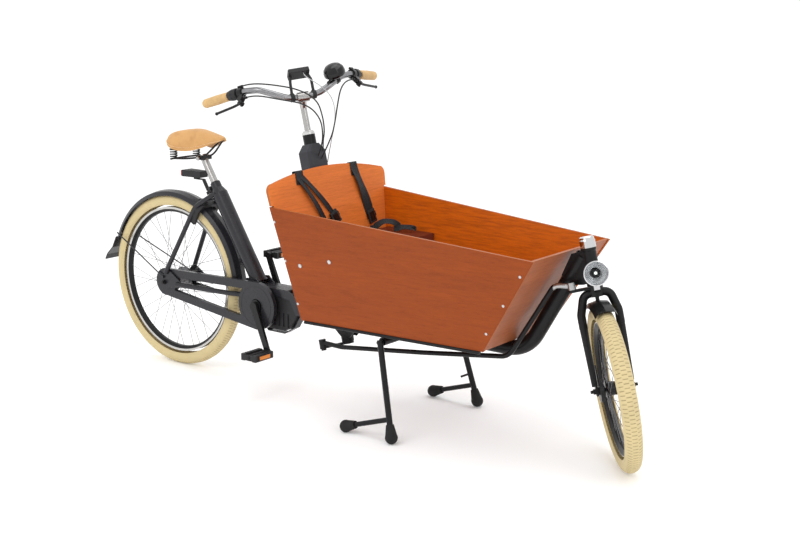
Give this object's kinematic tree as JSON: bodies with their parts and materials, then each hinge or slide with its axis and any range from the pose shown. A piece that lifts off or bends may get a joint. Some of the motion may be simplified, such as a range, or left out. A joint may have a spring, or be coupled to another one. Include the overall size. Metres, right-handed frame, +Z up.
{
  "type": "cargo bicycle",
  "caption": "Two-wheeled cargo bicycle with a tapered plywood load box ahead of the rider, linkage-steered small front wheel, mid motor, enclosed chain, folding bench and a four-foot stand.",
  "frame": {"origin": "on the ground, in the centre plane, directly under the rear axle", "axes": "+X forward to the front wheel, +Y to the rider's left, +Z up"},
  "size_m": [2.4682, 0.6592, 1.1836],
  "materials": {
    "frame_paint": "satin anthracite",
    "black_paint": "satin black",
    "cream_rubber": "cream rubber",
    "rim_black": "black anodised",
    "spoke_steel": "drawn steel",
    "hub_alloy": "turned alloy",
    "black_alloy": "black alloy",
    "plywood": "orange-brown stained plywood",
    "bench_wood": "red-brown stained plywood",
    "black_plastic": "matt",
    "gloss_black": "gloss",
    "silver_alloy": "satin silver",
    "chrome": "bright",
    "chain_steel": "oiled steel",
    "black_rubber": "matt rubber",
    "cork_grip": "tan stitched grip",
    "tan_leather": "saddle leather",
    "webbing": "woven webbing",
    "lens_clear": "clear",
    "lens_red": "red"
  },
  "bodies": {
    "frame": {"side_panel_right": "plywood", "side_panel_left": "plywood", "floor_panel": "plywood", "front_panel": "plywood", "back_panel": "plywood", "main_tube": "black_paint", "column_head_tube": "black_paint", "front_head_tube": "black_paint", "seat_tube": "frame_paint", "motor_bracket": "frame_paint", "drive_unit": "black_plastic", "rear_triangle": "frame_paint", "rear_axle_and_brake": "black_alloy", "chain": "chain_steel", "chain_case": "frame_paint", "box_fittings": "spoke_steel", "battery_case": "black_plastic", "rear_mudguard": "frame_paint", "rear_light": "black_plastic", "rear_light_lens": "lens_red", "ring_lock": "black_plastic", "control_cables": "black_rubber", "harness_straps": "webbing"},
    "steering": {"steering_column": "black_paint", "stem": "silver_alloy", "handlebar": "silver_alloy", "grips": "cork_grip", "lever_clamps": "black_alloy", "bell": "gloss_black", "display": "black_plastic"},
    "rod": {"steering_rod": "black_paint"},
    "fork": {"fork": "black_paint", "headset_cap": "chrome", "headlight": "chrome", "headlight_lens": "lens_clear", "front_mudguard": "black_paint", "front_axle_and_brake": "black_alloy"},
    "front_wheel": {"front_tyre": "cream_rubber", "front_rim": "rim_black", "front_spokes": "spoke_steel", "front_hub": "hub_alloy"},
    "rear_wheel": {"rear_tyre": "cream_rubber", "rear_rim": "rim_black", "rear_spokes": "spoke_steel", "rear_hub": "hub_alloy"},
    "sprocket": {"rear_sprocket": "spoke_steel"},
    "cranks": {"crankset": "black_alloy"},
    "pedal_right": {"pedal_right": "black_plastic"},
    "pedal_left": {"pedal_left": "black_plastic"},
    "seat": {"seat_post": "silver_alloy", "saddle_top": "tan_leather", "saddle_frame": "black_alloy"},
    "seat_lever": {"seat_clamp_lever": "black_alloy"},
    "brake_lever_left": {"brake_lever_left": "black_alloy"},
    "brake_lever_right": {"brake_lever_right": "black_alloy"},
    "shifter": {"twist_shifter": "black_plastic"},
    "bell_lever": {"bell_lever": "gloss_black"},
    "bench": {"bench": "bench_wood"},
    "stand": {"kickstand": "black_paint", "kickstand_feet": "black_rubber"}
  },
  "joints": [
    {"name": "column_turn", "type": "hinge", "parent": "frame", "child": "steering", "pos_m": [0.835, 0, 0.3], "axis": [-0.2334, 0, 0.9724], "range_deg": [-5, 79], "deforming": ["control_cables"]},
    {"name": "rod_pivot", "type": "hinge", "parent": "steering", "child": "rod", "pos_m": [0.79664, -0.07188, 0.22775], "axis": [-0.2334, 0, 0.9724], "range_deg": [-79, 5]},
    {"name": "fork_turn", "type": "hinge", "parent": "frame", "child": "fork", "pos_m": [1.8939, 0, 0.25461], "axis": [-0.2334, 0, 0.9724], "range_deg": [-6.99, 108.99]},
    {"name": "front_wheel_spin", "type": "hinge", "parent": "fork", "child": "front_wheel", "pos_m": [1.90277, -0.01127, 0.25675], "axis": [0.7557, 0.6293, 0.1814], "continuous": true},
    {"name": "rear_wheel_spin", "type": "hinge", "parent": "frame", "child": "rear_wheel", "pos_m": [0, 0, 0.334], "axis": [0, 1, 0], "continuous": true},
    {"name": "crank_spin", "type": "hinge", "parent": "frame", "child": "cranks", "pos_m": [0.473, 0, 0.308], "axis": [0, 1, 0], "continuous": true},
    {"name": "sprocket_spin", "type": "hinge", "parent": "frame", "child": "sprocket", "pos_m": [0, 0, 0.334], "axis": [0, 1, 0], "continuous": true},
    {"name": "pedal_right_spin", "type": "hinge", "parent": "cranks", "child": "pedal_right", "pos_m": [0.55109, -0.084, 0.15475], "axis": [0, 1, 0], "continuous": true},
    {"name": "pedal_left_spin", "type": "hinge", "parent": "cranks", "child": "pedal_left", "pos_m": [0.39491, 0.084, 0.46125], "axis": [0, 1, 0], "continuous": true},
    {"name": "seat_height", "type": "slide", "parent": "frame", "child": "seat", "axis": [-0.5283, 0, 0.849], "range_m": [-0.04, 0.06]},
    {"name": "seat_lever_turn", "type": "hinge", "parent": "frame", "child": "seat_lever", "pos_m": [0.20175, 0.0188, 0.70636], "axis": [0.5283, 0, -0.849], "range_deg": [0, 120]},
    {"name": "brake_left_pull", "type": "hinge", "parent": "steering", "child": "brake_lever_left", "pos_m": [0.77367, 0.16723, 1.10766], "axis": [0.6246, 0.2243, 0.748], "range_deg": [0, 15], "stiffness_Nm_per_rad": 1.5, "springref_deg": -5.73},
    {"name": "brake_right_pull", "type": "hinge", "parent": "steering", "child": "brake_lever_right", "pos_m": [0.52656, -0.17001, 1.04833], "axis": [0.1358, 0.8135, -0.5655], "range_deg": [0, 15], "stiffness_Nm_per_rad": 1.5, "springref_deg": -5.73},
    {"name": "shifter_turn", "type": "hinge", "parent": "steering", "child": "shifter", "pos_m": [0.46781, -0.14327, 1.07268], "axis": [-0.9631, -0.0254, -0.2678], "range_deg": [-45, 45]},
    {"name": "bell_lever_push", "type": "hinge", "parent": "steering", "child": "bell_lever", "pos_m": [0.73813, 0.06, 1.13112], "axis": [0.1022, -0.518, 0.8493], "range_deg": [0, 18], "stiffness_Nm_per_rad": 0.05, "springref_deg": -5.73},
    {"name": "bench_fold", "type": "hinge", "parent": "frame", "child": "bench", "pos_m": [0.82, 0, 0.587], "axis": [0, -1, 0], "range_deg": [0, 70]},
    {"name": "stand_fold", "type": "hinge", "parent": "frame", "child": "stand", "pos_m": [1.161, 0, 0.318], "axis": [0, 1, 0], "range_deg": [0, 60]}
  ],
  "couplings": [
    {"joint": "rod_pivot", "follows": "column_turn", "ratio": -1},
    {"joint": "fork_turn", "follows": "column_turn", "ratio": 1.3784},
    {"joint": "sprocket_spin", "follows": "crank_spin", "ratio": 2}
  ]
}
